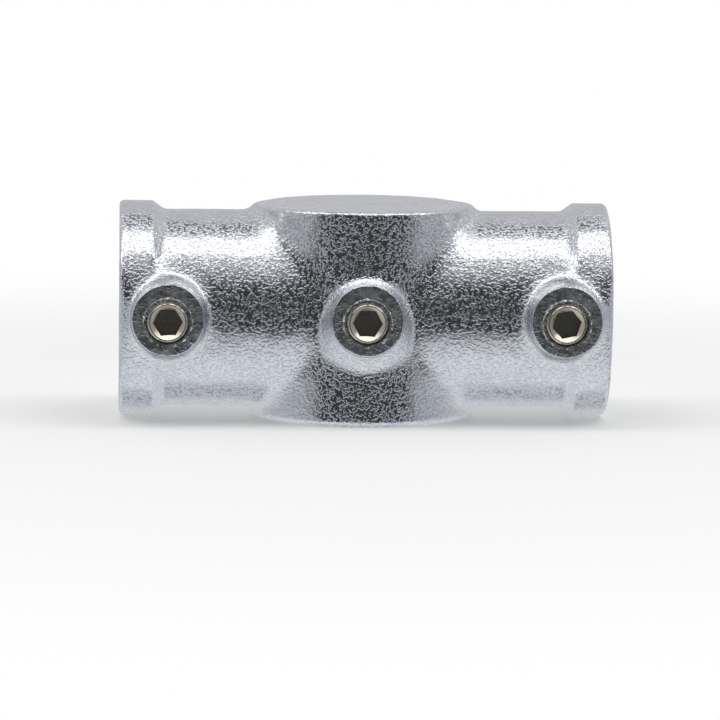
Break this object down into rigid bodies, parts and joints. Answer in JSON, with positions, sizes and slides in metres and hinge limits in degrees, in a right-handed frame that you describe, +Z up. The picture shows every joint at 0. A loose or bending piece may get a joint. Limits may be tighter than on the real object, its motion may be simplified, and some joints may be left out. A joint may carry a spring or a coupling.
{
  "type": "eaves key clamp",
  "caption": "Galvanised cast tube fitting with in-line rail sockets, an upright socket with a closed top, raised mouth rims and hexagon-socket grub screws that clamp the tubes.",
  "frame": {"origin": "middle of the upright socket's mouth, on the plane of the boss's bottom ring", "axes": "+X along the rail sockets to the right, -Y out of the screw faces, +Z up towards the closed top"},
  "size_m": [0.153, 0.072, 0.0672],
  "materials": {
    "galvanised_casting": "hot-dip galvanised over a shot-blasted casting, bright and grainy",
    "plated_screw": "machined and bright plated"
  },
  "bodies": {
    "casting": {"body": "galvanised_casting"},
    "screw_left": {"grub_screw_left": "plated_screw"},
    "screw_centre": {"grub_screw_centre": "plated_screw"},
    "screw_right": {"grub_screw_right": "plated_screw"}
  },
  "joints": [
    {"name": "left_screw_travel", "type": "slide", "parent": "casting", "child": "screw_left", "axis": [0, 1, 0], "range_m": [-0.006, 0.004]},
    {"name": "centre_screw_travel", "type": "slide", "parent": "casting", "child": "screw_centre", "axis": [0, 1, 0], "range_m": [-0.006, 0.004]},
    {"name": "right_screw_travel", "type": "slide", "parent": "casting", "child": "screw_right", "axis": [0, 1, 0], "range_m": [-0.006, 0.004]}
  ]
}
